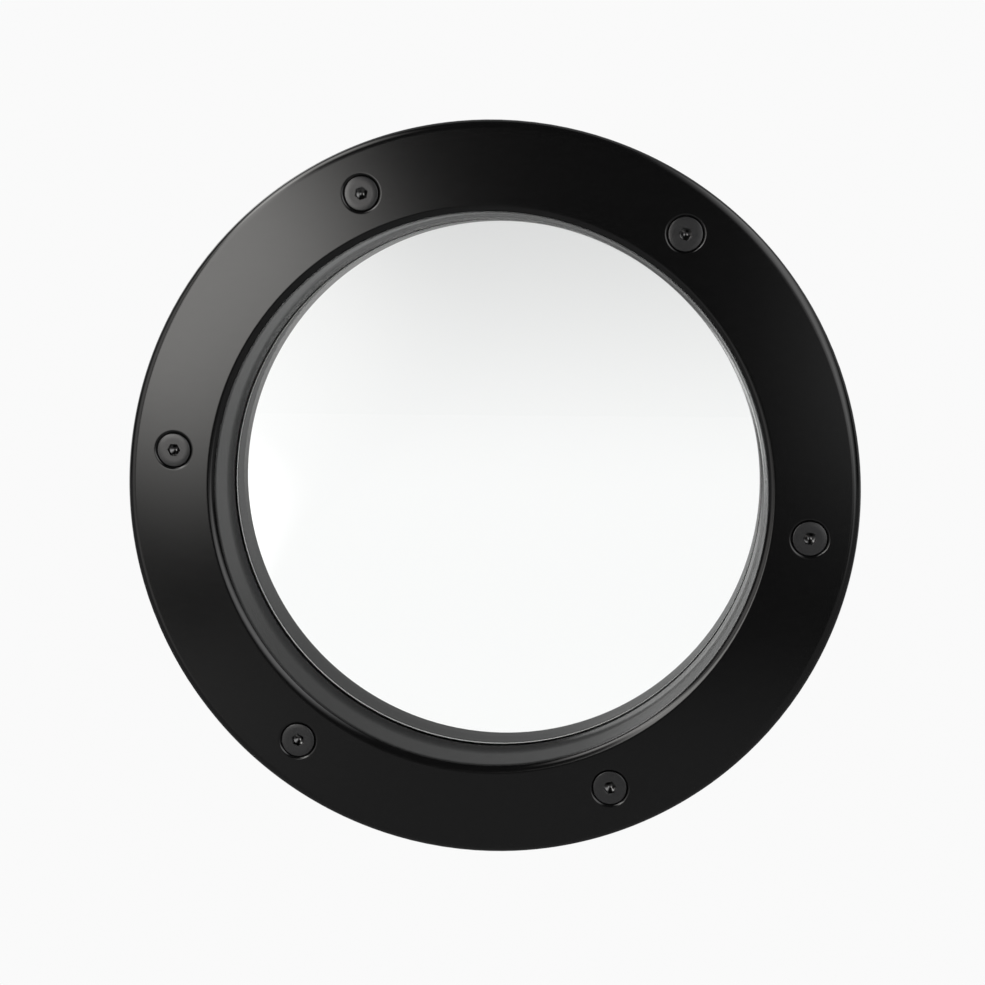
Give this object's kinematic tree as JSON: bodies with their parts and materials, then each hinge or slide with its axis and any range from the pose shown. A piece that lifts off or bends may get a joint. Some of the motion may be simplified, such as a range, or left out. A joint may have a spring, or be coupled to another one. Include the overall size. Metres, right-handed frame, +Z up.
{
  "type": "porthole window",
  "caption": "Round porthole window for a door: flanged steel rings, coated satin black, clamp a glass pane between seals and grip the door leaf, drawn together by countersunk screws.",
  "frame": {"origin": "on the axis of the window, in the middle of the door leaf that it clamps", "axes": "+Y along the axis of the window, from the screwed front towards the rear; +Z up; +X to the right as seen from the front"},
  "size_m": [0.26, 0.047, 0.26],
  "materials": {
    "black_coating": "satin black powder coating on pressed steel",
    "clear_glass": "clear float glass, toughened, ground edge",
    "black_rubber": "matt black rubber",
    "grey_tape": "light grey closed-cell glazing tape",
    "black_screw": "black finished steel, satin",
    "bare_steel": "turned steel, bare"
  },
  "bodies": {
    "root": {"front_ring": "black_coating", "rear_ring": "black_coating", "glass_pane": "clear_glass", "front_glazing_seal": "black_rubber", "rear_glazing_tape": "grey_tape", "front_flange_seal": "black_rubber", "rear_flange_seal": "black_rubber", "clamp_screws": "black_screw", "threaded_sleeves": "bare_steel"}
  },
  "joints": []
}
